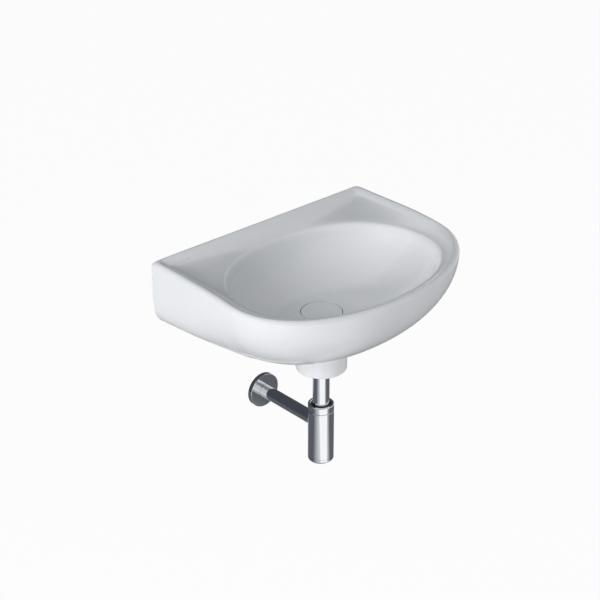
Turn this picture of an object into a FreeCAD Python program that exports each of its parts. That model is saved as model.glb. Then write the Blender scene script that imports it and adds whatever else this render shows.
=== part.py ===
"""Wall hung basin with a push waste and a chromed bottle trap.

Frame: the origin is midway between the two wall bolts, on the wall's face.
+X runs along the wall, +Y goes into the wall and +Z is up.  A piece's "reach"
is its distance from the wall into the room, so it is measured along -Y.
"""
import FreeCAD
import Part

import math
import os
import re

import Sketcher
from FreeCAD import Placement, Rotation, Vector

os.makedirs("parts", exist_ok=True)
doc = FreeCAD.newDocument("WallHungBasin")

# ---------------------------------------------------------------- sizes, mm
SIZES = [
    # the basin seen from above
    ("basin_width", 520, "widest, a little way out from the wall"),
    ("wall_narrower", 7, "how much narrower the basin is where it meets the wall"),
    ("basin_depth", 386, "from the wall to the front of the rim"),
    ("front_curve", 165, "depth of the half oval at the front"),
    ("plan_corner", 12, "radius of the two back corners, seen from above"),
    # the rim and the deck inside it
    ("rim_height", 65, "back rim above the wall bolts"),
    ("rim_drop", 15, "how much lower the rim is at the front"),
    ("drop_start", 130, "reach at which the rim starts to fall"),
    ("drop_end", 370, "reach at which it stops falling"),
    ("crest_inset", 8, "top of the rim, in from the outer edge"),
    ("crest_round", 5.5, "how far the rim's outer round falls"),
    ("border_width", 22, "raised border round the deck"),
    ("border_tighter", 2, "how much narrower that border is along the wall"),
    # the bowl
    ("side_rim", 45, "from the outer edge to the bowl at the sides"),
    ("back_deck", 44, "from the wall to the bowl"),
    ("front_rim", 26, "from the front edge to the bowl"),
    ("lip_reach", 215, "reach of the widest line of the bowl"),
    ("lip_drop", 20.5, "bowl's lip below the back rim"),
    ("lip_ridge", 6, "soft ridge outside the bowl's lip"),
    ("lip_round", 2.5, "round of the bowl's lip, seen from above"),
    ("lip_fall", 5, "how far that round falls"),
    ("lip_power", 2.18, "how square the bowl's oval is, 2 is an ellipse"),
    ("bowl_power", 2.1, "how full the bowl is, 2 is an ellipse"),
    ("lip_slope", 18, "degrees by which the bowl's wall leans at its lip"),
    ("floor_radius", 52, "flat floor round the waste"),
    ("drain_drop", 58, "bowl's floor below the wall bolts"),
    # the underside
    ("skirt_depth", 142, "side skirt at the wall, below the rim"),
    ("belly_reach", 189, "reach of the deepest line of the underside"),
    ("belly_depth", 182.5, "deepest line below the back rim"),
    ("belly_lag", 1.08, "above 1 the underside leaves the wall more level"),
    ("belly_power", 1.9, "roundness of the front, seen from the side"),
    ("skirt_power", 7.2, "how square the cross-section is at the wall"),
    ("front_power", 2.1, "how square it is at the front"),
    ("fading_reach", 95, "reach by which that squareness has mostly faded"),
    ("fading_power", 1.5, "above 1 the squareness holds longer by the wall"),
    ("china_wall", 9, "thickness of the cast china"),
    ("back_panel", 12, "thickness of the china along the wall"),
    ("access_width", 330, "opening under the back, to reach the nuts"),
    ("access_reach", 74, "how far that opening reaches from the wall"),
    ("access_rise", 25, "top of that opening above the skirt's lower edge"),
    # the round shroud that hides the waste
    ("waste_reach", 173, "axis of the waste and the trap from the wall"),
    ("shroud_diameter", 97, "outside of the shroud"),
    ("shroud_bore", 80, "inside of the shroud"),
    ("shroud_below", 58.5, "how far the shroud reaches below the deepest line"),
    ("shroud_sunk", 4, "top of the shroud below the bowl's floor"),
    ("shroud_round", 3, "round of its lower edge"),
    ("seat_diameter", 79.6, "recess in the bowl's floor for the cover"),
    ("seat_depth", 17, "depth of that recess"),
    ("waste_hole", 46, "hole through the china"),
    ("waste_land", 18, "china clamped by the waste"),
    # fixing to the wall
    ("bolt_spacing", 280, "between the two wall bolts"),
    ("bolt_hole", 16, "fixing hole in the china"),
    ("pad_diameter", 46, "thick pad round each fixing hole"),
    ("pad_thickness", 24, "china at each fixing hole"),
    ("screw_diameter", 8, "wood thread of the hanger bolt"),
    ("screw_length", 54, "wood thread in the wall"),
    ("screw_point", 8, "tapered point of that thread"),
    ("screw_tip", 1.2, "blunt end of the point"),
    ("stud_diameter", 10, "metric thread of the hanger bolt"),
    ("stud_reach", 56, "end of the hanger bolt from the wall"),
    ("bush_diameter", 15.6, "sleeve of the bush"),
    ("bush_start", 2, "sleeve's end in front of the wall's face"),
    ("bush_flange", 28, "flange of the bush"),
    ("flange_thickness", 3, "flange of the bush"),
    ("washer_diameter", 24, "steel washer"),
    ("washer_thickness", 2, "steel washer"),
    ("nut_flats", 17, "across the flats of the fixing nut"),
    ("nut_height", 8, "fixing nut"),
    ("washer_play", 0.25, "radial play of the washer on its bolt"),
    ("edge_break", 0.8, "small chamfers and rounds on turned edges"),
    ("thread_gap", 0.05, "radial gap of a thread or running fit"),
    # the cover and the valve under it
    ("cover_diameter", 76.8, "china cover"),
    ("cover_thickness", 8, "china cover"),
    ("cover_round", 1.2, "round of its upper edge"),
    ("cover_gap", 4, "from the cover down to the waste's flange"),
    ("holder_diameter", 54, "brass disc under the cover"),
    ("holder_thickness", 3, "brass disc under the cover"),
    ("seal_diameter", 62, "rubber ring round that disc"),
    ("running_gap", 0.3, "between pieces that move past each other"),
    ("stem_diameter", 12, "stem under the cover"),
    ("stem_length", 29, "stem below the brass disc"),
    ("cartridge_diameter", 18, "plastic cartridge"),
    ("cartridge_length", 42, "plastic cartridge"),
    ("cartridge_collar", 22, "collar that rests on the cross"),
    ("collar_thickness", 2.5, "that collar"),
    ("cartridge_floor", 3, "bottom of the cartridge"),
    ("spring_wire", 1.2, "wire of the spring"),
    ("spring_diameter", 11, "outside of the spring"),
    ("spring_turns", 5, "turns of the spring"),
    # the waste fitting
    ("waste_flange", 70, "flange in the recess"),
    ("waste_flange_thickness", 3, "that flange"),
    ("gasket_thickness", 2, "rubber gaskets"),
    ("gasket_inset", 1, "how far a gasket stops short of its flange"),
    ("loose_fit", 0.5, "radial play of pieces that only have to pass"),
    ("tail_diameter", 42, "threaded tail of the waste"),
    ("tail_bore", 37, "bore of that tail"),
    ("tail_length", 80, "tail below the recess"),
    ("cross_height", 15, "cross in the tail"),
    ("cross_arm", 2.5, "arms of the cross"),
    ("cross_drop", 7, "top of the cross below the flange"),
    ("hub_wall", 2, "ring in the middle of the cross"),
    ("flange_funnel", 3, "cone in the mouth of the tail"),
    ("lower_gasket_diameter", 62, "gasket under the china"),
    ("lower_gasket_thickness", 4, "gasket under the china"),
    ("friction_washer_thickness", 1.5, "plastic washer"),
    ("backnut_flats", 52, "across the flats of the backnut"),
    ("backnut_height", 9, "backnut"),
    ("coupling_flats", 48, "across the flats of the coupling nut"),
    ("coupling_height", 25, "coupling nut"),
    ("coupling_lip", 3.5, "inner lip that carries the tailpipe"),
    ("collar_diameter", 40, "collar of the tailpipe"),
    ("collar_height", 2.5, "collar of the tailpipe"),
    # the trap
    ("outlet_drop", 300, "outlet tube's axis below the wall bolts"),
    ("tailpipe_diameter", 32, "inlet tube"),
    ("pipe_wall", 1.2, "wall of the chromed tubes"),
    ("dip_below", 52, "end of the inlet tube below the outlet's axis"),
    ("bottle_diameter", 50, "bottle and its rings"),
    ("bottle_wall", 1.8, "bottle"),
    ("head_above", 45, "top of the ring nut above the outlet's axis"),
    ("head_height", 13, "ring nut"),
    ("head_web", 2, "top of the ring nut"),
    ("head_opening", 40, "opening of the ring nut"),
    ("edge_chamfer", 0.8, "edges of the ring nut and the bottle"),
    ("seam", 1.2, "groove between ring nut and bottle"),
    ("neck_diameter", 45, "threaded neck of the bottle"),
    ("neck_bore", 39, "mouth of the neck"),
    ("shoulder", 3, "thickness of the bottle's shoulder"),
    ("slip_thickness", 1.5, "plastic slip ring"),
    ("seal_collar", 1.8, "collar of the cone seal"),
    ("seal_cone", 7, "cone of the seal in the neck"),
    ("seal_taper", 1.6, "how much that cone narrows, radially"),
    ("cap_below", 80, "bottom of the cap below the outlet's axis"),
    ("cap_height", 10, "visible part of the cap"),
    ("cap_round", 6, "round of the cap's lower edge"),
    ("cap_floor", 3, "bottom of the cap"),
    ("spigot_length", 9, "threaded spigot of the cap"),
    ("spigot_bore", 40, "inside of the spigot"),
    ("ring_section", 2.4, "rubber of the cap's O-ring"),
    ("ring_depth", 1.6, "radial depth of its groove"),
    ("outlet_diameter", 26, "outlet tube"),
    ("outlet_stub", 15, "outlet tube behind the wall's face"),
    ("rosette_diameter", 70, "wall disc"),
    ("rosette_depth", 9.5, "wall disc"),
    ("rosette_sheet", 1.2, "sheet of the wall disc"),
    ("rosette_edge", 0.5, "chamfer of its rim"),
    ("grip_width", 2.6, "rubber ring in the wall disc"),
    ("grip_depth", 2, "radial depth of that ring"),
    ("overcut", 10, "how far a cutting tool reaches past what it cuts"),
]

sheet = doc.addObject("Spreadsheet::Sheet", "Sizes")
for row, (alias, value, note) in enumerate(SIZES, start=1):
    sheet.set("A%d" % row, note)
    sheet.set("B%d" % row, str(value))
    sheet.setAlias("B%d" % row, alias)
doc.recompute()


def bound(text):
    """The same expression with every size read from the sheet."""
    return re.sub(r"\b([a-z]\w*)\b", r"Sizes.\1", text)


def size(text):
    """The present value of an expression in sizes, in mm."""
    value = sheet.evalExpression(bound(text))
    return float(getattr(value, "Value", value))


# heights above the wall bolts, as expressions in sizes
BOWL_FLOOR = "(0 - drain_drop)"
SHROUD_END = "(rim_height - belly_depth - shroud_below)"
SHROUD_TOP = "(0 - drain_drop - shroud_sunk)"
SEAT = "(0 - drain_drop - seat_depth)"
FLANGE_TOP = "(0 - drain_drop - cover_thickness - cover_gap)"
HOLDER_TOP = "(0 - drain_drop - cover_thickness)"
HOLDER_BOTTOM = "(0 - drain_drop - cover_thickness - holder_thickness)"
LAND = "(0 - drain_drop - seat_depth - waste_land)"
WASHER_TOP = "(0 - drain_drop - seat_depth - waste_land - lower_gasket_thickness)"
BACKNUT_TOP = "(%s - friction_washer_thickness)" % WASHER_TOP
TAIL_END = "(%s - tail_length)" % SEAT
PIPE_TOP = "(%s - gasket_thickness)" % TAIL_END
COUPLING_BOTTOM = "(%s - collar_height - coupling_lip)" % PIPE_TOP
CROSS_TOP = "(%s - cross_drop)" % FLANGE_TOP
HEAD_TOP = "(head_above)"
HEAD_BOTTOM = "(head_above - head_height)"
SHOULDER = "(head_above - head_height - seam)"
SLIP_TOP = "(head_above - head_web)"
SEAL_TOP = "(head_above - head_web - slip_thickness)"
NECK_TOP = "(head_above - head_web - slip_thickness - seal_collar)"
CAP_BOTTOM = "(0 - cap_below)"
CAP_SEAM = "(cap_height - cap_below)"
BOTTLE_END = "(cap_height - cap_below + running_gap)"
BOTTLE_RADIUS = "(bottle_diameter / 2)"
BOTTLE_BORE = "(bottle_diameter / 2 - bottle_wall)"
PIPE_RADIUS = "(tailpipe_diameter / 2)"
PIPE_BORE = "(tailpipe_diameter / 2 - pipe_wall)"

UPRIGHT = Rotation()
OUT_FROM_WALL = Rotation(Vector(1, 0, 0), 90)
nodes = []


def place(item, reach="0", height="0", side="0", turn=UPRIGHT):
    """Stand an object at a reach and height, bound to the sheet."""
    item.Placement = Placement(Vector(), turn)
    item.setExpression("Placement.Base.x", bound(side))
    item.setExpression("Placement.Base.y", bound("0 - (%s)" % reach))
    item.setExpression("Placement.Base.z", bound(height))
    return item


def keep(item, label):
    """Mark an object as a finished piece under its own name."""
    item.Label = label
    nodes.append(item)
    return item


def origin_plane(body, role):
    return [p for p in body.Origin.OriginFeatures if p.Role == role][0]


def profile(body, name, corners, plane="XZ_Plane"):
    """A closed outline of straight edges, each corner bound to the sheet."""
    sketch = body.newObject("Sketcher::SketchObject", name)
    sketch.AttachmentSupport = [(origin_plane(body, plane), "")]
    sketch.MapMode = "FlatFace"
    points = [Vector(size(x), size(y), 0) for x, y in corners]
    count = len(points)
    for i in range(count):
        sketch.addGeometry(Part.LineSegment(points[i], points[(i + 1) % count]), False)
    for i in range(count):
        sketch.addConstraint(Sketcher.Constraint("Coincident", i, 2, (i + 1) % count, 1))
    vertical_axis, horizontal_axis = -2, -1
    for i, (x, y) in enumerate(corners):
        across = ("DistanceX", x, points[i].x, vertical_axis)
        upward = ("DistanceY", y, points[i].y, horizontal_axis)
        for kind, text, value, axis in (across, upward):
            if text == "0":
                sketch.addConstraint(Sketcher.Constraint("PointOnObject", i, 1, axis))
                continue
            number = sketch.addConstraint(Sketcher.Constraint(kind, -1, 1, i, 1, value))
            sketch.setExpression("Constraints[%d]" % number, bound(text))
    return sketch


def turned(name, corners, **where):
    """A piece turned about its own Z axis from an outline of radius and height."""
    body = doc.addObject("PartDesign::Body", name)
    sketch = profile(body, name + "_outline", corners)
    turn = body.newObject("PartDesign::Revolution", name + "_turn")
    turn.Profile = sketch
    turn.ReferenceAxis = (sketch, ["V_Axis"])
    turn.Angle = 360
    body.Tip = turn
    place(body, **where)
    return body


def rounded(body, name, radius, pick):
    """Fillet the circular edges that pick(radius, height) chooses on a turned piece."""
    doc.recompute()
    last = body.Tip
    edges = []
    for number, edge in enumerate(last.Shape.Edges, start=1):
        if edge.Curve.TypeId == "Part::GeomCircle" and pick(edge.Curve.Radius, edge.Curve.Center.z):
            edges.append("Edge%d" % number)
    fillet = body.newObject("PartDesign::Fillet", name)
    fillet.Base = (last, edges)
    fillet.setExpression("Radius", bound(radius))
    body.Tip = fillet
    return body


def cylinder(name, radius, length, **where):
    item = doc.addObject("Part::Cylinder", name)
    item.setExpression("Radius", bound(radius))
    item.setExpression("Height", bound(length))
    return place(item, **where)


def prism(name, flats, length, **where):
    """A hexagonal bar."""
    item = doc.addObject("Part::Prism", name)
    item.Polygon = 6
    item.setExpression("Circumradius", bound("(%s) / 3 ^ 0.5" % flats))
    item.setExpression("Height", bound(length))
    return place(item, **where)


def cut(name, base, tool):
    item = doc.addObject("Part::Cut", name)
    item.Base = base
    item.Tool = tool
    return item


def fuse(name, *pieces):
    item = doc.addObject("Part::MultiFuse", name)
    item.Shapes = list(pieces)
    return item


def common(name, *pieces):
    item = doc.addObject("Part::MultiCommon", name)
    item.Shapes = list(pieces)
    return item


def formed(name, shape):
    """A piece whose surface is given by a formula."""
    item = doc.addObject("Part::Feature", name)
    item.Shape = shape
    item.Placement = Placement()
    return item


def pair(label, right):
    """The right-hand piece and its mirror image, as two separate solids."""
    left = doc.addObject("Part::Mirroring", label + "_left")
    left.Source = right
    left.Normal = Vector(1, 0, 0)
    both = doc.addObject("Part::Compound", label)
    both.Links = [right, left]
    return keep(both, label)


# ---------------------------------------------------------------- the china
WIDE = size("basin_width / 2")
AT_WALL = size("(basin_width - wall_narrower) / 2")
DEPTH = size("basin_depth")
STRAIGHT = size("basin_depth - front_curve")
RIM = size("rim_height")
LIP = size("rim_height - lip_drop")
LIP_REACH = size("lip_reach")
SECTION_STEPS = 32
WASTE_REACH = size("waste_reach")


def ease(share):
    """0 to 1 with a level start and end."""
    share = min(max(share, 0.0), 1.0)
    return share * share * (3 - 2 * share)


def half_width(reach):
    if reach <= STRAIGHT:
        return AT_WALL + (WIDE - AT_WALL) * ease(reach / STRAIGHT)
    along = (reach - STRAIGHT) / (DEPTH - STRAIGHT)
    return WIDE * math.sqrt(max(1 - along ** 2, 0.0))


def crest(reach):
    """Height of the top of the rim."""
    start = size("drop_start")
    return RIM - size("rim_drop") * ease((reach - start) / (size("drop_end") - start))


def belly(reach):
    """Depth of the underside's middle line below the rim."""
    skirt = size("skirt_depth")
    lowest = size("belly_depth")
    turn = size("belly_reach")
    if reach < turn:
        return skirt + (lowest - skirt) * ease((reach / turn) ** size("belly_lag"))
    share = (reach - turn) / (DEPTH - turn)
    power = size("belly_power")
    return (crest(reach) - RIM + lowest) * max(1 - share ** power, 0.0) ** (1 / power)


def section_power(reach):
    """How square the cross-section is: boxy at the wall, nearly an ellipse further out."""
    front = size("front_power")
    faded = (reach / size("fading_reach")) ** size("fading_power")
    return front + (size("skirt_power") - front) * math.exp(-faded)


def drawn_in(length, inset, longest):
    """A length made shorter by an inset, and by less where it is short itself."""
    return length - inset * math.sqrt(length / longest)


def hull_section(reach, inset, lid, at):
    """The underside's outline in a plane parallel to the wall, up both sides to a lid.

    Its shape is the one of the given reach; "at" is where it stands.
    """
    wide = drawn_in(half_width(reach), inset, WIDE)
    deep = drawn_in(belly(reach), inset, size("belly_depth"))
    power = section_power(reach)
    top = crest(reach)
    points = [Vector(-wide, -at, lid), Vector(-wide, -at, (top + lid) / 2)]
    for i in range(SECTION_STEPS + 1):
        angle = math.pi * i / SECTION_STEPS
        across, down = math.cos(angle), math.sin(angle)
        out = (abs(across) ** power + down ** power) ** (-1 / power)
        points.append(Vector(-wide * across * out, -at, top - deep * down * out))
    points += [Vector(wide, -at, (top + lid) / 2), Vector(wide, -at, lid)]
    curve = Part.BSplineCurve()
    curve.interpolate(Points=points, Parameters=section_spacing())
    return curve


def section_spacing():
    """Where each point lies along a section, 0 to 1, the same for all the sections."""
    last = SECTION_STEPS + 4
    return [i / last for i in range(last + 1)]


def hull(inset, first, lid):
    """The solid inside the hull's skin, from a first reach to the front.

    The sections get closer towards the front.  The last one stops just short of
    it, where it would shrink to a point.
    """
    front = DEPTH - inset
    steps = 32
    nearly_all = 0.9998
    shares = [math.sin(math.pi / 2 * i / steps) for i in range(steps)] + [nearly_all]
    curves = []
    for share in shares:
        reach = first + (front - first) * share
        curves.append(hull_section(reach + inset * ease(share), inset, lid, reach))
    faces = skin_through(curves, section_spacing(), False)
    for curve in (curves[0], curves[-1]):
        rim = Part.makeLine(curve.EndPoint, curve.StartPoint)
        faces.append(Part.Face(Part.Wire([curve.toShape(), rim])))
    level = [edge for face in faces for edge in face.Edges if edge.BoundBox.ZMin > lid - 0.001]
    faces.append(Part.Face(Part.Wire(Part.__sortEdges__(level))))
    return solid_from(faces)


def solid_from(faces):
    """One solid from faces that close a space."""
    shell = Part.makeShell(faces)
    shell.sewShape()
    solid = Part.makeSolid(shell)
    if solid.Volume < 0:
        solid.reverse()
    return solid


def outline_spots():
    """The stretch, and the share of the way along it, of each point of the outline."""
    straight_steps, corner_steps, front_steps = 10, 6, 28
    spots = []
    for i in range(straight_steps):
        spots.append(("back", 1 - 2 * i / straight_steps))
    for i in range(corner_steps):
        spots.append(("left corner", i / corner_steps))
    for i in range(straight_steps):
        spots.append(("left side", i / straight_steps))
    for i in range(front_steps):
        spots.append(("front", i / front_steps))
    for i in range(straight_steps):
        spots.append(("right side", 1 - i / straight_steps))
    for i in range(corner_steps):
        spots.append(("right corner", i / corner_steps))
    return spots


SPOTS = outline_spots()


def all_round(value):
    """One value for every point of the outline."""
    return [value for spot in SPOTS]


def outline_point(stretch, share, inset):
    """A point of the D-shaped outline seen from above, moved in by an inset."""
    corner = size("plan_corner")
    x_corner = AT_WALL - inset - corner
    y_corner = -back_inset(inset) - corner
    if stretch == "back":
        return x_corner * share, y_corner + corner
    if stretch == "front":
        angle = math.pi * share
        x = -(WIDE - inset) * math.cos(angle)
        return x, -(STRAIGHT + (DEPTH - STRAIGHT - inset) * math.sin(angle))
    hand = -1 if stretch.startswith("left") else 1
    if stretch.endswith("corner"):
        angle = math.pi / 2 * (share + (hand < 0))
        return hand * x_corner + corner * math.cos(angle), y_corner + corner * math.sin(angle)
    reach = -y_corner + (STRAIGHT + y_corner) * share
    return hand * (half_width(reach) - inset), -reach


def plan_outline(insets):
    """The whole outline, with an inset for each of its points."""
    return [outline_point(stretch, share, inset) for (stretch, share), inset in zip(SPOTS, insets)]


def back_inset(inset):
    """The border is tighter along the wall than at the sides."""
    crest_inset = size("crest_inset")
    border = size("border_width")
    if inset <= crest_inset:
        return inset / 2
    share = (inset - crest_inset) / (border - crest_inset)
    return crest_inset / 2 + (border - size("border_tighter") - crest_inset / 2) * share


def oval(angle, side, back, front, power):
    """A point of the bowl's oval, at an angle about its widest line."""
    across, along = abs(math.cos(angle)), math.sin(angle)
    deep = back if along > 0 else front
    radius = ((across / side) ** power + (abs(along) / deep) ** power) ** (-1 / power)
    return radius * math.cos(angle), -LIP_REACH + radius * along


def ring_spacing():
    """Where each point lies along a ring, 0 to 1, the same for all the rings."""
    points = plan_outline(all_round(size("crest_inset")))
    places = [0.0]
    for near, far in zip(points, points[1:] + points[:1]):
        places.append(places[-1] + math.dist(near, far))
    return [place / places[-1] for place in places]


def closed_curve(points, heights):
    vectors = [Vector(x, y, z) for (x, y), z in zip(points, heights)]
    curve = Part.BSplineCurve()
    curve.interpolate(Points=vectors, PeriodicFlag=True, Parameters=RING_SPACING)
    return curve


def slope(before, after, gap_before, gap_after):
    """A tangent that never swings past its neighbours."""
    if before * after <= 0:
        return 0.0
    near = 2 * gap_after + gap_before
    far = gap_after + 2 * gap_before
    return (near + far) / (near / before + far / after)


def column_poles(column, gaps):
    """Control points of a smooth run through a column of points, with no overshoot."""
    steps = [(b - a) * (1 / gap) for a, b, gap in zip(column, column[1:], gaps)]
    tangents = [steps[0]]
    for i in range(1, len(steps)):
        before, after = steps[i - 1], steps[i]
        tangents.append(Vector(*[slope(before[k], after[k], gaps[i - 1], gaps[i]) for k in range(3)]))
    tangents.append(steps[-1])
    poles = [column[0]]
    for i, gap in enumerate(gaps):
        poles.append(column[i] + tangents[i] * (gap / 3))
        poles.append(column[i + 1] - tangents[i + 1] * (gap / 3))
    poles.append(column[-1])
    return poles


def cuts(knots):
    """Knots at which a surface is split into patches, so that it is measured exactly."""
    patches = 7
    return [knots[(len(knots) - 1) * i // patches] for i in range(patches + 1)]


def skin_through(curves, spacing, closed):
    """Faces of one smooth surface through curves that all have the same knots."""
    rows = [curve.getPoles() for curve in curves]
    gaps = []
    for first, second in zip(rows, rows[1:]):
        gaps.append(sum((b - a).Length for a, b in zip(first, second)) / len(first))
    knots = [sum(gaps[:i]) for i in range(len(gaps) + 1)]
    columns = [column_poles([row[i] for row in rows], gaps) for i in range(len(rows[0]))]
    surface = Part.BSplineSurface()
    surface.buildFromPolesMultsKnots(
        columns,
        curves[0].getMultiplicities(),
        [4] + [2] * (len(gaps) - 1) + [4],
        curves[0].getKnots(),
        knots,
        closed,
        False,
        3,
        3,
    )
    if closed:
        surface.setUNotPeriodic()
    faces = []
    for near, far in zip(cuts(spacing), cuts(spacing)[1:]):
        for top, bottom in zip(cuts(knots), cuts(knots)[1:]):
            patch = surface.copy()
            patch.segment(near, far, top, bottom)
            faces.append(patch.toShape())
    return faces


RING_SPACING = ring_spacing()


def between(first, second, share):
    return [(a + (c - a) * share, b + (d - b) * share) for (a, b), (c, d) in zip(first, second)]


def top_rings(wall):
    """Rings down the basin's upper side, from outside the rim to the bowl's floor.

    With a wall of 0 they lie on the glaze; otherwise that far under it.
    """
    crest_inset = size("crest_inset")
    angles = [math.atan2(y + LIP_REACH, x) for x, y in plan_outline(all_round(crest_inset))]

    def bowl_edge(out):
        """The bowl's oval, moved outwards."""
        side = size("basin_width / 2 - side_rim") + wall + out
        back = size("lip_reach - back_deck") + wall + out
        front = size("basin_depth - lip_reach - front_rim") + wall + out
        return [oval(a, side, back, front, size("lip_power")) for a in angles]

    widths = [math.dist(a, b) for a, b in zip(plan_outline(all_round(0.0)), bowl_edge(0))]
    rounding = size("crest_round")
    border = size("border_width")
    rings = []
    # inset, the most it may be as a share of the rim's width, share of the crest's height, fall
    for inset, most, share, drop in (
        (-size("overcut") / 2, 1.0, 1.0, 2 * rounding),
        (0, 1.0, 1.0, rounding),
        (crest_inset * 0.4, 0.12, 1.0, rounding * 0.3),
        (crest_inset, 0.31, 1.0, 0.0),
        ((crest_inset + border) / 2, 0.4, 0.84, 0.0),
        (border, 0.5, 0.58, 0.0),
    ):
        insets = [min(inset, width * most) for width in widths]
        points = plan_outline(insets)
        heights = []
        for (x, y), at in zip(points, insets):
            fall = 0.4 + 0.6 * ease((-y - back_inset(at)) / size("plan_corner"))
            heights.append(LIP + (crest(-y) - LIP) * share - drop * fall - wall)
        rings.append((points, heights))
    ridge = bowl_edge(size("lip_ridge"))
    for ring_points, left in ((between(rings[-1][0], ridge, 0.5), 0.24), (ridge, 0.03)):
        rings.append((ring_points, [LIP + (crest(-y) - LIP) * left - wall * 0.8 for x, y in ring_points]))
    lip_round, lip_fall = size("lip_round"), size("lip_fall")
    for out, fall in ((lip_round, 0.06), (0, 0.3)):
        rings.append((bowl_edge(out), all_round(LIP - lip_fall * fall - wall * 0.6)))
    floor = -size("drain_drop") - wall
    start = LIP - lip_fall - wall * 0.6
    wall_top = bowl_edge(-lip_round)
    radius = size("floor_radius")
    drain = [(radius * math.cos(a), -WASTE_REACH + radius * math.sin(a)) for a in angles]
    fullness = 2 / size("bowl_power")
    first = math.radians(size("lip_slope"))
    fallen = math.sin(first) ** fullness
    steps = 10
    for i in range(steps + 1):
        angle = first + (math.pi / 2 - first) * i / steps
        left = abs(math.cos(angle) / math.cos(first)) ** fullness if i < steps else 0.0
        gone = (math.sin(angle) ** fullness - fallen) / (1 - fallen)
        rings.append((between(drain, wall_top, left), all_round(start + (floor - start) * gone)))
    return rings


def above_the_top(wall, lid):
    """Everything above the basin's upper side, up to a level lid."""
    outermost = (plan_outline(all_round(-size("overcut"))), all_round(lid))
    curves = [closed_curve(points, heights) for points, heights in [outermost] + top_rings(wall)]
    faces = skin_through(curves, RING_SPACING, True)
    level = [edge for face in faces for edge in face.Edges if edge.BoundBox.ZLength < 0.001]
    for height in (lid, curves[-1].StartPoint.z):
        loop = [edge for edge in level if abs(edge.BoundBox.ZMin - height) < 0.001]
        faces.append(Part.Face(Part.Wire(Part.__sortEdges__(loop))))
    return solid_from(faces)


WALL = size("china_wall")
HULL_LID = size("rim_height + overcut")
TOP_LID = size("rim_height + overcut * 2")
outside = formed("hull_outside", hull(0, 0, HULL_LID))
upper_side = formed("upper_side", above_the_top(0, TOP_LID))
inside = formed("hull_inside", hull(WALL, size("back_panel"), HULL_LID))
under_bowl = formed("under_bowl", above_the_top(WALL, TOP_LID))

cast = cut("cast_outside", outside, upper_side)
hollow = cut("hollow", inside, under_bowl)
shell = cut("cast_shell", cast, hollow)

shroud = turned(
    "shroud",
    [
        ("0", SHROUD_END),
        ("shroud_diameter / 2", SHROUD_END),
        ("shroud_diameter / 2", SHROUD_TOP),
        ("0", SHROUD_TOP),
    ],
    reach="waste_reach",
)
rounded(shroud, "shroud_edge", "shroud_round", lambda r, z: r > 1 and z < size(SHROUD_END) + 1)
right_pad = cylinder(
    "right_pad", "pad_diameter / 2", "pad_thickness", side="bolt_spacing / 2", turn=OUT_FROM_WALL
)
left_pad = cylinder(
    "left_pad", "pad_diameter / 2", "pad_thickness", side="0 - bolt_spacing / 2", turn=OUT_FROM_WALL
)
whole = fuse("cast_whole", shell, shroud, right_pad, left_pad)

seat = cylinder("seat", "seat_diameter / 2", "seat_depth + overcut * 2", reach="waste_reach", height=SEAT)
hole = cylinder(
    "waste_hole_cut",
    "waste_hole / 2",
    "waste_land + overcut * 2",
    reach="waste_reach",
    height="%s - overcut" % LAND,
)
room = cylinder(
    "shroud_room",
    "shroud_bore / 2",
    "%s - %s + overcut" % (LAND, SHROUD_END),
    reach="waste_reach",
    height="%s - overcut" % SHROUD_END,
)
HOLE_LENGTH = "pad_thickness + overcut * 2"
THROUGH_WALL = {"reach": "0 - overcut", "turn": OUT_FROM_WALL}
right_hole = cylinder("right_hole", "bolt_hole / 2", HOLE_LENGTH, side="bolt_spacing / 2", **THROUGH_WALL)
left_hole = cylinder("left_hole", "bolt_hole / 2", HOLE_LENGTH, side="0 - bolt_spacing / 2", **THROUGH_WALL)
access = doc.addObject("Part::Box", "access")
access.setExpression("Length", bound("access_width"))
access.setExpression("Width", bound("access_reach - back_panel"))
access.setExpression("Height", bound("belly_depth"))
place(
    access,
    side="0 - access_width / 2",
    reach="access_reach",
    height="rim_height - skirt_depth + access_rise - belly_depth",
)
openings = fuse("openings", seat, hole, room, right_hole, left_hole, access)
keep(cut("china", whole, openings), "basin_body")

# ---------------------------------------------------------------- wall fixing
AT_BOLT = {"side": "bolt_spacing / 2", "turn": OUT_FROM_WALL}
pair(
    "hanger_bolts",
    turned(
        "hanger_bolt",
        [
            ("0", "0 - screw_length"),
            ("screw_tip / 2", "0 - screw_length"),
            ("screw_diameter / 2", "screw_point - screw_length"),
            ("screw_diameter / 2", "bush_start / 2"),
            ("stud_diameter / 2", "bush_start"),
            ("stud_diameter / 2", "stud_reach - edge_break"),
            ("stud_diameter / 2 - edge_break", "stud_reach"),
            ("0", "stud_reach"),
        ],
        **AT_BOLT
    ),
)
pair(
    "fixing_bushes",
    turned(
        "fixing_bush",
        [
            ("stud_diameter / 2 + thread_gap", "bush_start"),
            ("bush_diameter / 2", "bush_start"),
            ("bush_diameter / 2", "pad_thickness"),
            ("bush_flange / 2", "pad_thickness"),
            ("bush_flange / 2", "pad_thickness + flange_thickness"),
            ("stud_diameter / 2 + thread_gap", "pad_thickness + flange_thickness"),
        ],
        **AT_BOLT
    ),
)
pair(
    "fixing_washers",
    turned(
        "fixing_washer",
        [
            ("stud_diameter / 2 + washer_play", "pad_thickness + flange_thickness"),
            ("washer_diameter / 2", "pad_thickness + flange_thickness"),
            ("washer_diameter / 2", "pad_thickness + flange_thickness + washer_thickness"),
            ("stud_diameter / 2 + washer_play", "pad_thickness + flange_thickness + washer_thickness"),
        ],
        **AT_BOLT
    ),
)
NUT_FOOT = "pad_thickness + flange_thickness + washer_thickness"


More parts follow.
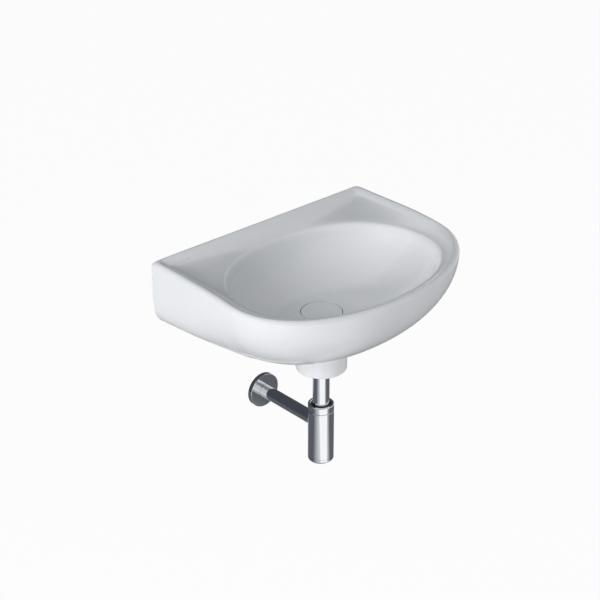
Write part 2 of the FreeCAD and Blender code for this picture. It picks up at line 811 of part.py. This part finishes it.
def hex_nut(name, flats, bore, foot, height, **where):
    """A hexagon nut: a turned blank with chamfered corners, cut to six flats."""
    corner = "(%s) / 3 ^ 0.5" % flats
    blank = turned(
        name + "_blank",
        [
            (bore, foot),
            ("(%s) / 2" % flats, foot),
            (corner, "%s + edge_break" % foot),
            (corner, "%s + %s - edge_break" % (foot, height)),
            ("(%s) / 2" % flats, "%s + %s" % (foot, height)),
            (bore, "%s + %s" % (foot, height)),
        ],
        **where
    )
    start = "%s - %s" % (foot, height)
    beside = dict(where)
    beside["reach" if "turn" in where else "height"] = start
    bar = prism(name + "_bar", flats, "(%s) * 3" % height, **beside)
    return common(name, blank, bar)


pair(
    "fixing_nuts",
    hex_nut("fixing_nut", "nut_flats", "stud_diameter / 2 + thread_gap", NUT_FOOT, "nut_height", **AT_BOLT),
)

# ---------------------------------------------------------------- cover and valve
AT_WASTE = {"reach": "waste_reach"}
cover = turned(
    "cover",
    [
        ("0", HOLDER_TOP),
        ("cover_diameter / 2", HOLDER_TOP),
        ("cover_diameter / 2", BOWL_FLOOR),
        ("0", BOWL_FLOOR),
    ],
    **AT_WASTE
)
rounded(cover, "cover_edge", "cover_round", lambda r, z: r > 1 and z > size(HOLDER_TOP) + 1)
keep(cover, "waste_cover")

keep(
    turned(
        "holder",
        [
            ("0", "%s - stem_length" % HOLDER_BOTTOM),
            ("stem_diameter / 2", "%s - stem_length" % HOLDER_BOTTOM),
            ("stem_diameter / 2", HOLDER_BOTTOM),
            ("holder_diameter / 2", HOLDER_BOTTOM),
            ("holder_diameter / 2", HOLDER_TOP),
            ("0", HOLDER_TOP),
        ],
        **AT_WASTE
    ),
    "cover_holder",
)
keep(
    turned(
        "seal",
        [
            ("holder_diameter / 2", "%s + running_gap" % FLANGE_TOP),
            ("seal_diameter / 2 - edge_break", "%s + running_gap" % FLANGE_TOP),
            ("seal_diameter / 2", HOLDER_TOP),
            ("holder_diameter / 2", HOLDER_TOP),
        ],
        **AT_WASTE
    ),
    "cover_seal",
)
CARTRIDGE_TOP = "(%s + collar_thickness)" % CROSS_TOP
CARTRIDGE_FLOOR = "(%s - cartridge_length + cartridge_floor)" % CARTRIDGE_TOP
keep(
    turned(
        "cartridge",
        [
            ("0", "%s - cartridge_length" % CARTRIDGE_TOP),
            ("cartridge_diameter / 2", "%s - cartridge_length" % CARTRIDGE_TOP),
            ("cartridge_diameter / 2", CROSS_TOP),
            ("cartridge_collar / 2", CROSS_TOP),
            ("cartridge_collar / 2", CARTRIDGE_TOP),
            ("stem_diameter / 2 + thread_gap", CARTRIDGE_TOP),
            ("stem_diameter / 2 + thread_gap", CARTRIDGE_FLOOR),
            ("0", CARTRIDGE_FLOOR),
        ],
        **AT_WASTE
    ),
    "valve_cartridge",
)


def coil():
    """The spring between the cartridge's floor and the stem, closed up by the cover."""
    wire = size("spring_wire")
    radius = size("(spring_diameter - spring_wire) / 2")
    low = size(CARTRIDGE_FLOOR) + wire / 2
    high = size("%s - stem_length - running_gap" % HOLDER_BOTTOM) - wire / 2
    pitch = (high - low) / size("spring_turns")
    helix = Part.makeHelix(pitch, high - low, radius)
    end = helix.Vertexes[0].Point
    along = helix.Edges[0].tangentAt(helix.Edges[0].FirstParameter)
    round_wire = Part.Wire([Part.makeCircle(wire / 2, end, along)])
    return Part.Wire(helix.Edges).makePipeShell([round_wire], True, True)


spring = formed("spring", coil())
place(spring, reach="waste_reach", height="%s + spring_wire / 2" % CARTRIDGE_FLOOR)
keep(spring, "valve_spring")

# ---------------------------------------------------------------- waste fitting
tail = turned(
    "tail",
    [
        ("tail_bore / 2", TAIL_END),
        ("tail_diameter / 2", TAIL_END),
        ("tail_diameter / 2", "%s - waste_flange_thickness" % FLANGE_TOP),
        ("waste_flange / 2", "%s - waste_flange_thickness" % FLANGE_TOP),
        ("waste_flange / 2", "%s - edge_break" % FLANGE_TOP),
        ("waste_flange / 2 - edge_break", FLANGE_TOP),
        ("tail_bore / 2 + flange_funnel", FLANGE_TOP),
        ("tail_bore / 2", "%s - flange_funnel" % FLANGE_TOP),
    ],
    **AT_WASTE
)
hub = turned(
    "hub",
    [
        ("cartridge_diameter / 2", "%s - cross_height" % CROSS_TOP),
        ("cartridge_diameter / 2 + hub_wall", "%s - cross_height" % CROSS_TOP),
        ("cartridge_diameter / 2 + hub_wall", CROSS_TOP),
        ("cartridge_diameter / 2", CROSS_TOP),
    ],
    **AT_WASTE
)
arms = doc.addObject("PartDesign::Body", "arms")
arm_outline = profile(
    arms,
    "arm_outline",
    [
        ("cartridge_diameter / 2 + hub_wall / 2", "0 - cross_arm / 2"),
        ("tail_bore / 2 + hub_wall / 2", "0 - cross_arm / 2"),
        ("tail_bore / 2 + hub_wall / 2", "cross_arm / 2"),
        ("cartridge_diameter / 2 + hub_wall / 2", "cross_arm / 2"),
    ],
    plane="XY_Plane",
)
arm = arms.newObject("PartDesign::Pad", "arm")
arm.Profile = arm_outline
arm.setExpression("Length", bound("cross_height - hub_wall"))
arms.Tip = arm
place(arms, reach="waste_reach", height="%s - cross_height + hub_wall / 2" % CROSS_TOP)
cross = [arms]
for number in (1, 2):
    turned_arm = doc.addObject("Part::Feature", "arm_%d" % number)
    doc.recompute()
    turned_arm.Shape = arms.Shape.copy().rotated(
        Vector(0, -WASTE_REACH, 0), Vector(0, 0, 1), 120 * number
    )
    cross.append(turned_arm)
keep(fuse("waste", tail, hub, *cross), "waste_body")


def ring(name, inner, outer, low, high, **where):
    """A plain ring of rectangular section."""
    return turned(name, [(inner, low), (outer, low), (outer, high), (inner, high)], **where)


keep(
    ring(
        "upper_gasket",
        "tail_diameter / 2",
        "waste_flange / 2 - gasket_inset",
        SEAT,
        "%s - waste_flange_thickness" % FLANGE_TOP,
        **AT_WASTE
    ),
    "flange_gasket",
)
keep(
    ring("under_gasket", "tail_diameter / 2", "lower_gasket_diameter / 2", WASHER_TOP, LAND, **AT_WASTE),
    "lower_gasket",
)
keep(
    ring(
        "slip_washer",
        "tail_diameter / 2 + loose_fit",
        "lower_gasket_diameter / 2 - gasket_inset",
        BACKNUT_TOP,
        WASHER_TOP,
        **AT_WASTE
    ),
    "friction_washer",
)
BACKNUT_FOOT = "%s - backnut_height" % BACKNUT_TOP
TAIL_THREAD = "tail_diameter / 2 + thread_gap"
keep(
    hex_nut("backnut", "backnut_flats", TAIL_THREAD, BACKNUT_FOOT, "backnut_height", **AT_WASTE),
    "waste_backnut",
)
keep(
    ring("pipe_gasket", PIPE_RADIUS, "collar_diameter / 2", PIPE_TOP, TAIL_END, **AT_WASTE),
    "tailpipe_gasket",
)
coupling_blank = hex_nut(
    "coupling_blank",
    "coupling_flats",
    "%s + loose_fit" % PIPE_RADIUS,
    COUPLING_BOTTOM,
    "coupling_height",
    **AT_WASTE
)
coupling_room = cylinder(
    "coupling_room",
    TAIL_THREAD,
    "coupling_height + overcut",
    reach="waste_reach",
    height="%s + coupling_lip" % COUPLING_BOTTOM,
)
keep(cut("coupling", coupling_blank, coupling_room), "coupling_nut")
DIP_END = "(0 - outlet_drop - dip_below)"
keep(
    turned(
        "pipe",
        [
            (PIPE_BORE, DIP_END),
            (PIPE_RADIUS, DIP_END),
            (PIPE_RADIUS, "%s - collar_height" % PIPE_TOP),
            ("collar_diameter / 2", "%s - collar_height" % PIPE_TOP),
            ("collar_diameter / 2", PIPE_TOP),
            (PIPE_BORE, PIPE_TOP),
        ],
        **AT_WASTE
    ),
    "tailpipe",
)

# ---------------------------------------------------------------- bottle trap
AT_TRAP = {"reach": "waste_reach", "height": "0 - outlet_drop"}
keep(
    turned(
        "ring_nut",
        [
            ("neck_diameter / 2 + thread_gap", HEAD_BOTTOM),
            ("%s - edge_chamfer / 2" % BOTTLE_RADIUS, HEAD_BOTTOM),
            (BOTTLE_RADIUS, "%s + edge_chamfer / 2" % HEAD_BOTTOM),
            (BOTTLE_RADIUS, "%s - edge_chamfer" % HEAD_TOP),
            ("%s - edge_chamfer" % BOTTLE_RADIUS, HEAD_TOP),
            ("head_opening / 2 + edge_chamfer", HEAD_TOP),
            ("head_opening / 2", "%s - edge_chamfer" % HEAD_TOP),
            ("head_opening / 2", SLIP_TOP),
            ("neck_diameter / 2 + thread_gap", SLIP_TOP),
        ],
        **AT_TRAP
    ),
    "head_ring",
)
keep(
    ring(
        "slip",
        "%s + running_gap" % PIPE_RADIUS,
        "neck_diameter / 2 - loose_fit",
        SEAL_TOP,
        SLIP_TOP,
        **AT_TRAP
    ),
    "slip_ring",
)
keep(
    turned(
        "cone",
        [
            ("%s + thread_gap" % PIPE_RADIUS, "%s - seal_cone" % NECK_TOP),
            ("neck_bore / 2 - seal_taper", "%s - seal_cone" % NECK_TOP),
            ("neck_bore / 2", NECK_TOP),
            ("neck_diameter / 2 - loose_fit", NECK_TOP),
            ("neck_diameter / 2 - loose_fit", SEAL_TOP),
            ("%s + thread_gap" % PIPE_RADIUS, SEAL_TOP),
        ],
        **AT_TRAP
    ),
    "cone_seal",
)
bottle_blank = turned(
    "bottle_blank",
    [
        (BOTTLE_BORE, BOTTLE_END),
        (BOTTLE_RADIUS, BOTTLE_END),
        (BOTTLE_RADIUS, "%s - edge_chamfer / 2" % SHOULDER),
        ("%s - edge_chamfer / 2" % BOTTLE_RADIUS, SHOULDER),
        ("neck_diameter / 2", SHOULDER),
        ("neck_diameter / 2", NECK_TOP),
        ("neck_bore / 2", NECK_TOP),
        ("neck_bore / 2", "%s - shoulder" % SHOULDER),
        (BOTTLE_BORE, "%s - shoulder" % SHOULDER),
    ],
    **AT_TRAP
)
side_hole = cylinder(
    "side_hole", "outlet_diameter / 2", "waste_reach", height="0 - outlet_drop", turn=OUT_FROM_WALL
)
keep(cut("bottle", bottle_blank, side_hole), "trap_bottle")

AT_OUTLET = {"height": "0 - outlet_drop", "turn": OUT_FROM_WALL}
outlet_blank = ring(
    "outlet_blank",
    "outlet_diameter / 2 - pipe_wall",
    "outlet_diameter / 2",
    "0 - outlet_stub",
    "waste_reach",
    **AT_OUTLET
)
bottle_room = cylinder(
    "bottle_room",
    BOTTLE_BORE,
    "bottle_diameter * 2",
    reach="waste_reach",
    height="0 - outlet_drop - bottle_diameter",
)
keep(cut("outlet", outlet_blank, bottle_room), "outlet_tube")

SPIGOT = "%s - thread_gap" % BOTTLE_BORE
GROOVE = "%s - thread_gap - ring_depth" % SPIGOT
GROOVE_TOP = "%s + running_gap * 3 + ring_section" % CAP_SEAM
cap = turned(
    "cap",
    [
        ("0", CAP_BOTTOM),
        (BOTTLE_RADIUS, CAP_BOTTOM),
        (BOTTLE_RADIUS, CAP_SEAM),
        (GROOVE, CAP_SEAM),
        (GROOVE, GROOVE_TOP),
        (SPIGOT, GROOVE_TOP),
        (SPIGOT, "%s + spigot_length - edge_break" % CAP_SEAM),
        ("%s - edge_break" % SPIGOT, "%s + spigot_length" % CAP_SEAM),
        ("spigot_bore / 2", "%s + spigot_length" % CAP_SEAM),
        ("spigot_bore / 2", "%s + cap_floor" % CAP_BOTTOM),
        ("0", "%s + cap_floor" % CAP_BOTTOM),
    ],
    **AT_TRAP
)
rounded(cap, "cap_edge", "cap_round", lambda r, z: r > 1 and z < size(CAP_BOTTOM) + 0.1)
keep(cap, "clean_out_cap")
keep(
    ring(
        "o_ring",
        "%s - ring_depth" % SPIGOT,
        SPIGOT,
        "%s + running_gap * 2" % CAP_SEAM,
        "%s + running_gap * 2 + ring_section" % CAP_SEAM,
        **AT_TRAP
    ),
    "cap_seal",
)

# ---------------------------------------------------------------- wall disc
GRIP = "(outlet_diameter / 2 + thread_gap + grip_depth)"
keep(
    turned(
        "disc",
        [
            ("outlet_diameter / 2 + running_gap", "rosette_depth - rosette_sheet"),
            (GRIP, "rosette_depth - rosette_sheet"),
            (GRIP, "rosette_depth - rosette_sheet * 2 - grip_width"),
            ("%s + rosette_sheet" % GRIP, "rosette_depth - rosette_sheet * 2 - grip_width"),
            ("%s + rosette_sheet" % GRIP, "rosette_depth - rosette_sheet"),
            ("rosette_diameter / 2 - rosette_sheet", "rosette_depth - rosette_sheet"),
            ("rosette_diameter / 2 - rosette_sheet", "0"),
            ("rosette_diameter / 2", "0"),
            ("rosette_diameter / 2", "rosette_depth - rosette_edge"),
            ("rosette_diameter / 2 - rosette_edge", "rosette_depth"),
            ("outlet_diameter / 2 + running_gap", "rosette_depth"),
        ],
        **AT_OUTLET
    ),
    "rosette",
)
keep(
    ring(
        "grip",
        "outlet_diameter / 2 + thread_gap",
        GRIP,
        "rosette_depth - rosette_sheet - grip_width",
        "rosette_depth - rosette_sheet",
        **AT_OUTLET
    ),
    "rosette_ring",
)

# ---------------------------------------------------------------- check and write
doc.recompute()
faults = [item.Name for item in doc.Objects if "Invalid" in item.State or "Error" in item.State]
for item in nodes:
    if item.Shape.isNull() or not item.Shape.isValid():
        faults.append(item.Label)
if faults:
    raise RuntimeError("these objects failed: %s" % ", ".join(sorted(set(faults))))
for item in nodes:
    item.Shape.exportStep("parts/%s.step" % item.Label)
    print("%-16s %2d solid(s) %9.0f mm3" % (item.Label, len(item.Shape.Solids), item.Shape.Volume))
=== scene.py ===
"""The looks of a wall hung china basin with its push waste and chromed bottle trap.

The CAD nodes carry the shapes.  This script gives each one the surface that the
real material has, and sets up the camera, the studio light and the floor.
"""

import math

import bpy
from mathutils import Matrix, Vector

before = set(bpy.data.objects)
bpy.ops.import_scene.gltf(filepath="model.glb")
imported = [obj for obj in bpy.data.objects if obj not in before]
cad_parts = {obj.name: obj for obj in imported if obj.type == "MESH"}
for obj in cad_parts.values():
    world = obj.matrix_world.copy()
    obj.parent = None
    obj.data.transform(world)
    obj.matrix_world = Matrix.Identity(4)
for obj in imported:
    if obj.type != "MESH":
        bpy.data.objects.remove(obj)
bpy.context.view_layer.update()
bpy.ops.object.select_all(action="DESELECT")


# ------------------------------------------------------------------ helpers
def linear(hex_colour):
    """An sRGB hex colour as the linear RGBA that the shaders take."""
    channels = []
    for i in (0, 2, 4):
        value = int(hex_colour.lstrip("#")[i:i + 2], 16) / 255
        if value <= 0.04045:
            channels.append(value / 12.92)
        else:
            channels.append(((value + 0.055) / 1.055) ** 2.4)
    return (*channels, 1.0)


def add_node(tree, kind, settings=None, inputs=None, links=None):
    """Add one node: its settings, the values of its inputs, and the links into it."""
    node = tree.nodes.new(kind)
    for name, value in (settings or {}).items():
        setattr(node, name, value)
    for name, value in (inputs or {}).items():
        node.inputs[name].default_value = value
    for name, socket in (links or {}).items():
        tree.links.new(socket, node.inputs[name])
    return node


def new_material(name):
    """A node material that holds nothing but its output node."""
    material = bpy.data.materials.new(name)
    material.use_nodes = True
    material.node_tree.nodes.clear()
    output = material.node_tree.nodes.new("ShaderNodeOutputMaterial")
    return material, material.node_tree, output


def dress(material, *names):
    """Give CAD nodes a material in place of their plain one."""
    for name in names:
        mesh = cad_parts[name].data
        mesh.materials.clear()
        mesh.materials.append(material)


# ------------------------------------------------------------------ materials
POOLS_PER_METRE = 33.0  # the glaze wavers over some 30 mm
WIPES_PER_METRE = 80.0  # a wipe mark is about 12 mm wide


def vitreous_china_glazed():
    """Vitreous china, slip cast and fired under a white glaze.

    The glaze is thick and glossy.  It pools a little unevenly, which gives the
    reflections a slow waver, and never a grain.
    """
    material, tree, output = new_material("vitreous_china_glazed")
    place = add_node(tree, "ShaderNodeTexCoord")
    pooling = add_node(
        tree, "ShaderNodeTexNoise",
        inputs={"Scale": POOLS_PER_METRE, "Detail": 1.0, "Roughness": 0.4},
        links={"Vector": place.outputs["Object"]},
    )
    tint = add_node(
        tree, "ShaderNodeMix", settings={"data_type": "RGBA"},
        inputs={"A": linear("#edeef0"), "B": linear("#f0f1f2")},
        links={"Factor": pooling.outputs["Fac"]},
    )
    waver = add_node(
        tree, "ShaderNodeBump", inputs={"Strength": 0.06, "Distance": 0.0008},
        links={"Height": pooling.outputs["Fac"]},
    )
    surface = add_node(
        tree, "ShaderNodeBsdfPrincipled",
        inputs={"Roughness": 0.2, "IOR": 1.52, "Coat Weight": 0.2, "Coat Roughness": 0.08},
        links={"Base Color": tint.outputs["Result"], "Normal": waver.outputs["Normal"]},
    )
    tree.links.new(surface.outputs["BSDF"], output.inputs["Surface"])
    return material


def brass_chrome_plated():
    """Brass with a polished chrome plate: a cool, nearly perfect mirror.

    Faint wipe marks break the mirror a little.
    """
    material, tree, output = new_material("brass_chrome_plated")
    place = add_node(tree, "ShaderNodeTexCoord")
    wiping = add_node(
        tree, "ShaderNodeTexNoise",
        inputs={"Scale": WIPES_PER_METRE, "Detail": 3.0, "Roughness": 0.6},
        links={"Vector": place.outputs["Object"]},
    )
    haze = add_node(
        tree, "ShaderNodeMapRange",
        inputs={"From Min": 0.3, "From Max": 0.8, "To Min": 0.035, "To Max": 0.085},
        links={"Value": wiping.outputs["Fac"]},
    )
    surface = add_node(
        tree, "ShaderNodeBsdfPrincipled",
        inputs={"Base Color": linear("#dcdee1"), "Metallic": 1.0},
        links={"Roughness": haze.outputs["Result"]},
    )
    tree.links.new(surface.outputs["BSDF"], output.inputs["Surface"])
    return material


def plain_finish(name, colour, darker, grain_mm, roughness, metallic=0.0):
    """A moulded, machined, plated or drawn finish, with a grain in colour and height.

    The grain is drawn coarser than the real one, which is too fine to show.
    """
    material, tree, output = new_material(name)
    place = add_node(tree, "ShaderNodeTexCoord")
    grain = add_node(
        tree, "ShaderNodeTexNoise",
        inputs={"Scale": 1000.0 / grain_mm, "Detail": 4.0, "Roughness": 0.55},
        links={"Vector": place.outputs["Object"]},
    )
    tint = add_node(
        tree, "ShaderNodeMix", settings={"data_type": "RGBA"},
        inputs={"A": linear(darker), "B": linear(colour)},
        links={"Factor": grain.outputs["Fac"]},
    )
    relief = add_node(
        tree, "ShaderNodeBump", inputs={"Strength": 0.1, "Distance": 0.0002},
        links={"Height": grain.outputs["Fac"]},
    )
    surface = add_node(
        tree, "ShaderNodeBsdfPrincipled",
        inputs={"Roughness": roughness, "Metallic": metallic},
        links={"Base Color": tint.outputs["Result"], "Normal": relief.outputs["Normal"]},
    )
    tree.links.new(surface.outputs["BSDF"], output.inputs["Surface"])
    return material


china = vitreous_china_glazed()
chrome = brass_chrome_plated()
# machined brass, left bare where the basin hides it: warm and finely grained
brass = plain_finish(
    "brass_machined", "#c9a25a", "#b08a45", grain_mm=1.5, roughness=0.3, metallic=1.0
)
# nitrile rubber, moulded: black and matt
rubber = plain_finish(
    "nitrile_rubber_moulded", "#1c1c1d", "#121213", grain_mm=2.0, roughness=0.62
)
# polypropylene, moulded black: slightly waxy
black_plastic = plain_finish(
    "polypropylene_moulded_black", "#222223", "#19191a", grain_mm=4.0, roughness=0.42
)
# polypropylene, moulded white: slightly waxy
white_plastic = plain_finish(
    "polypropylene_moulded_white", "#e4e4e0", "#dadad5", grain_mm=4.0, roughness=0.42
)
# steel with a bright zinc plate: pale blue grey and slightly cloudy
zinc = plain_finish(
    "steel_zinc_plated", "#b9bfc4", "#a4abb1", grain_mm=5.0, roughness=0.34, metallic=1.0
)
# stainless spring wire, drawn: darker and smooth
wire = plain_finish(
    "stainless_wire_drawn", "#9da0a3", "#85888b", grain_mm=1.0, roughness=0.28, metallic=1.0
)

dress(china, "basin_body", "waste_cover")
dress(
    chrome, "waste_body", "coupling_nut", "tailpipe", "head_ring", "trap_bottle",
    "outlet_tube", "clean_out_cap", "rosette",
)
dress(brass, "cover_holder", "waste_backnut")
dress(
    rubber, "cover_seal", "flange_gasket", "lower_gasket", "tailpipe_gasket",
    "cone_seal", "cap_seal", "rosette_ring",
)
dress(black_plastic, "slip_ring")
dress(white_plastic, "valve_cartridge", "friction_washer", "fixing_bushes")
dress(zinc, "hanger_bolts", "fixing_washers", "fixing_nuts")
dress(wire, "valve_spring")

# ------------------------------------------------------------------ camera
# the eye's place and its two angles, in radians, were fitted to the photograph
AZIMUTH = -0.7346181
ELEVATION = 0.4842721
EYE = Vector((-1.88534, -2.20066, 1.42176))
FARTHEST_SEEN = 50.0
FOCAL_LENGTH_MM = 102.0
SENSOR_WIDTH_MM = 36.0

backward = Vector((
    math.sin(AZIMUTH) * math.cos(ELEVATION),
    -math.cos(AZIMUTH) * math.cos(ELEVATION),
    math.sin(ELEVATION),
))
rightward = Vector((math.cos(AZIMUTH), math.sin(AZIMUTH), 0.0))
upward = backward.cross(rightward)
lens = bpy.data.cameras.new("camera")
lens.sensor_width = SENSOR_WIDTH_MM
lens.lens = FOCAL_LENGTH_MM
lens.clip_end = FARTHEST_SEEN
camera = bpy.data.objects.new("camera", lens)
bpy.context.scene.collection.objects.link(camera)
facing = Matrix((rightward, upward, backward)).transposed().to_4x4()
camera.matrix_world = Matrix.Translation(EYE) @ facing
bpy.context.scene.camera = camera


# ------------------------------------------------------------------ light
def softbox(name, place, aim, width, height, watts):
    """A soft rectangular lamp that points at a spot and leaves no square in the glaze."""
    lamp = bpy.data.lights.new(name, "AREA")
    lamp.shape = "RECTANGLE"
    lamp.size = width
    lamp.size_y = height
    lamp.energy = watts
    holder = bpy.data.objects.new(name, lamp)
    bpy.context.scene.collection.objects.link(holder)
    holder.location = place
    holder.rotation_euler = (Vector(aim) - Vector(place)).to_track_quat("-Z", "Y").to_euler()
    holder.visible_glossy = False


softbox(
    "key_from_the_left", place=(-2.5, -0.75, 0.85), aim=(0, -0.2, 0),
    width=1.3, height=1.3, watts=44,
)
softbox(
    "fill_from_the_right", place=(2.3, -1.4, -0.4), aim=(0, -0.2, -0.05),
    width=1.6, height=0.6, watts=20,
)


def is_looking(tree):
    """1 for a ray that looks at something, 0 for one that carries light from it."""
    path = add_node(tree, "ShaderNodeLightPath")
    total = path.outputs["Is Camera Ray"]
    for kind in ("Is Glossy Ray", "Is Transmission Ray"):
        either = add_node(
            tree, "ShaderNodeMath", settings={"operation": "MAXIMUM"},
            links={0: total, 1: path.outputs[kind]},
        )
        total = either.outputs[0]
    return total


# the room lights the basin softly, and shows as white where it is looked at
world = bpy.data.worlds.new("studio")
bpy.context.scene.world = world
world.use_nodes = True
sky = world.node_tree
sky.nodes.clear()
room = add_node(
    sky, "ShaderNodeBackground", inputs={"Color": linear("#f6fafe"), "Strength": 0.37}
)
white = add_node(
    sky, "ShaderNodeBackground", inputs={"Color": (1, 1, 1, 1), "Strength": 1.0}
)
backdrop = add_node(
    sky, "ShaderNodeMixShader",
    links={0: is_looking(sky), 1: room.outputs[0], 2: white.outputs[0]},
)
add_node(sky, "ShaderNodeOutputWorld", links={"Surface": backdrop.outputs[0]})

# ------------------------------------------------------------------ floor
FLOOR_HEIGHT = -0.80
FLOOR_SIZE = 30.0
OWN_WHITE = 0.95  # the share of the floor's look that no shadow darkens


def floor_material():
    """A white studio floor that keeps a faint shadow."""
    material, tree, output = new_material("studio_floor_white")
    shade = add_node(tree, "ShaderNodeBsdfDiffuse", inputs={"Color": linear("#f4f4f4")})
    glow = add_node(
        tree, "ShaderNodeEmission", inputs={"Color": (1, 1, 1, 1), "Strength": 1.0}
    )
    looked_at = add_node(
        tree, "ShaderNodeMixShader", inputs={0: OWN_WHITE},
        links={1: shade.outputs[0], 2: glow.outputs[0]},
    )
    mixed = add_node(
        tree, "ShaderNodeMixShader",
        links={0: is_looking(tree), 1: shade.outputs[0], 2: looked_at.outputs[0]},
    )
    tree.links.new(mixed.outputs[0], output.inputs["Surface"])
    return material


bpy.ops.mesh.primitive_plane_add(size=FLOOR_SIZE, location=(0, 0, FLOOR_HEIGHT))
floor = bpy.context.object
floor.name = "studio_floor"
floor.data.materials.append(floor_material())

# ------------------------------------------------------------------ cards
CARD_HEIGHT = FLOOR_HEIGHT + 0.01


def studio_card(name, tone, corner, width, depth, strength=1.0, upright=False, fade=None):
    """A flat card that shows only in reflections: it draws the bands on the chrome.

    It lies flat, or stands where it is upright, and its corner is the one with the
    lowest coordinates.  A fade of (axis, far tone, length) turns its tone into the
    far tone over that length from the corner.
    """
    material, tree, output = new_material(name)
    glow = add_node(
        tree, "ShaderNodeEmission", inputs={"Color": linear(tone), "Strength": strength}
    )
    if fade:
        axis, far_tone, length = fade
        side = width if axis == "X" else depth
        place = add_node(tree, "ShaderNodeTexCoord")
        axes = add_node(tree, "ShaderNodeSeparateXYZ", links={"Vector": place.outputs["Object"]})
        share = add_node(
            tree, "ShaderNodeMapRange",
            inputs={"From Min": -0.5, "From Max": length / side - 0.5},
            links={"Value": axes.outputs[axis]},
        )
        blend = add_node(
            tree, "ShaderNodeMix", settings={"data_type": "RGBA"},
            inputs={"A": linear(tone), "B": linear(far_tone)},
            links={"Factor": share.outputs["Result"]},
        )
        tree.links.new(blend.outputs["Result"], glow.inputs["Color"])
    tree.links.new(glow.outputs[0], output.inputs["Surface"])

    x, y, z = corner
    if upright:
        middle, turn = (x + width / 2, y, z + depth / 2), (math.pi / 2, 0, 0)
    else:
        middle, turn = (x + width / 2, y + depth / 2, z), (0, 0, 0)
    bpy.ops.mesh.primitive_plane_add(size=1.0, location=middle, rotation=turn)
    card = bpy.context.object
    card.name = name
    card.scale = (width, depth, 1.0)
    card.data.materials.append(material)
    for ray in ("camera", "diffuse", "shadow", "transmission", "volume_scatter"):
        setattr(card, "visible_" + ray, False)


studio_card(
    "card_on_the_left", "#f0f1f3", (-2.6, -0.66, CARD_HEIGHT), width=2.75, depth=2.2,
    fade=("Y", "#65686f", 0.74),
)
studio_card(
    "card_on_the_right", "#f0f1f3", (0.16, -1.5, CARD_HEIGHT), width=2.4, depth=3.0,
    fade=("X", "#6a6c72", 0.34),
)
studio_card(
    "card_in_front", "#ffffff", (-1.6, -1.9, CARD_HEIGHT), width=1.76, depth=1.24,
    strength=1.25,
)
studio_card(
    "card_behind", "#4b4e56", (-2.6, 1.55, CARD_HEIGHT), width=5.2, depth=3.6, upright=True
)

bpy.context.scene.view_settings.view_transform = "Standard"
